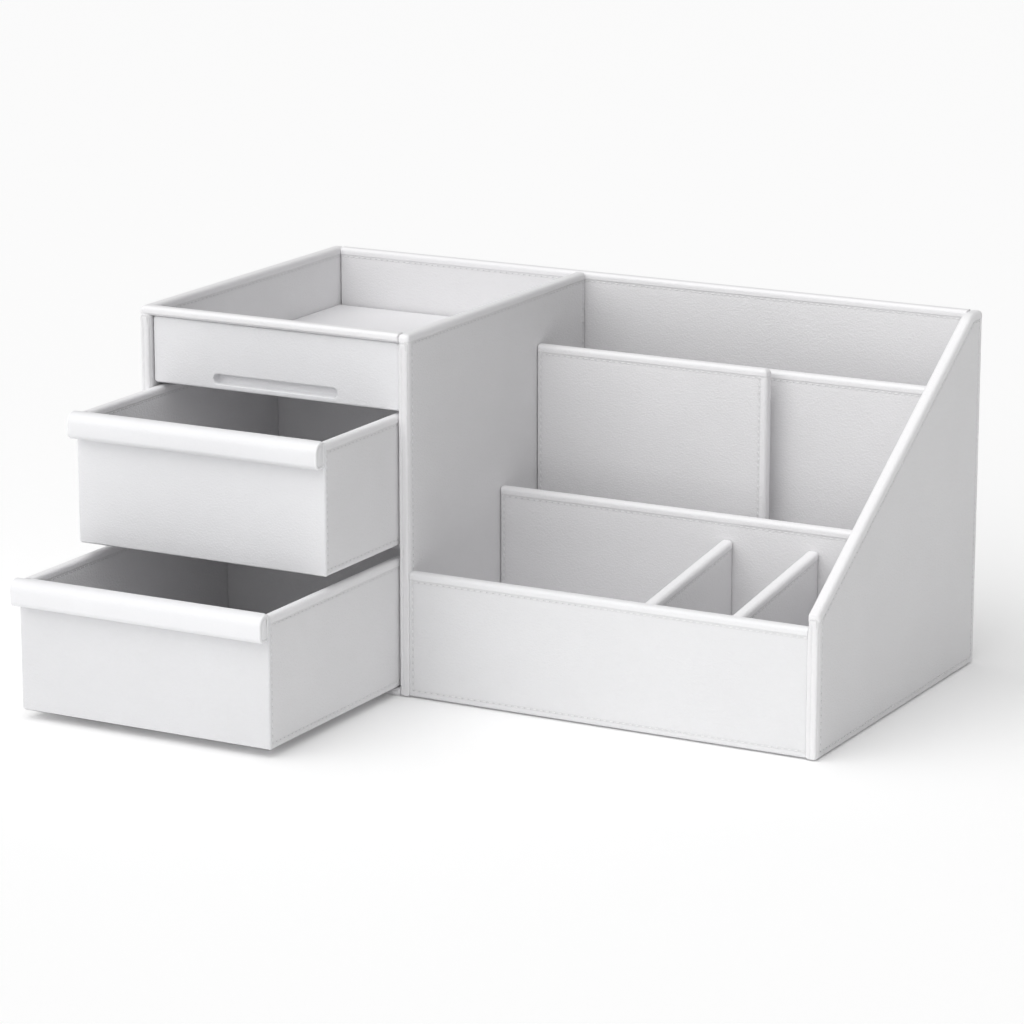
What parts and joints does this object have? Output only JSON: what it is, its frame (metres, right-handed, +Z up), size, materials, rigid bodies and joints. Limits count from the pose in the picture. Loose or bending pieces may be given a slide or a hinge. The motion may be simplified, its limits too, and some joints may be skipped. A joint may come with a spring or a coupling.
{
  "type": "desk organizer",
  "caption": "Leather-wrapped desk organizer: a tower with a pull-out tray over two lipped drawers, and open stepped compartments beside it.",
  "frame": {"origin": "on the resting plane, in the middle of the cabinet's footprint", "axes": "+Z up, -Y is the front where the drawers come out, +X to the right seen from the front"},
  "size_m": [0.38, 0.3232, 0.185],
  "materials": {
    "board_leather": "satin fine grain, stitched edges",
    "front_leather": "satin fine grain",
    "lip_leather": "satin, stretched over a roll",
    "lining_leather": "matt fine grain"
  },
  "bodies": {
    "cabinet": {"left_side_panel": "board_leather", "right_side_panel": "board_leather", "partition_panel": "board_leather", "back_panel": "board_leather", "front_wall": "board_leather", "tower_base_panel": "lining_leather", "compartment_base_panel": "lining_leather", "drawer_shelf": "lining_leather", "tray_shelf": "lining_leather", "top_front_rail": "board_leather", "step_divider": "board_leather", "file_divider": "board_leather", "rear_divider": "board_leather", "lap_batten": "lining_leather", "pen_divider_left": "board_leather", "pen_divider_right": "board_leather"},
    "lower_drawer": {"lower_drawer_front": "front_leather", "lower_drawer_left_side": "board_leather", "lower_drawer_right_side": "board_leather", "lower_drawer_back": "board_leather", "lower_drawer_bottom": "lining_leather", "lower_drawer_lip": "lip_leather"},
    "middle_drawer": {"middle_drawer_front": "front_leather", "middle_drawer_left_side": "board_leather", "middle_drawer_right_side": "board_leather", "middle_drawer_back": "board_leather", "middle_drawer_bottom": "lining_leather", "middle_drawer_lip": "lip_leather"},
    "tray": {"tray_front": "front_leather", "tray_floor": "lining_leather"}
  },
  "joints": [
    {"name": "lower_drawer_slide", "type": "slide", "parent": "cabinet", "child": "lower_drawer", "axis": [0, -1, 0], "range_m": [-0.121, 0.024]},
    {"name": "middle_drawer_slide", "type": "slide", "parent": "cabinet", "child": "middle_drawer", "axis": [0, -1, 0], "range_m": [-0.0685, 0.0765]},
    {"name": "tray_slide", "type": "slide", "parent": "cabinet", "child": "tray", "axis": [0, -1, 0], "range_m": [0, 0.1]}
  ]
}
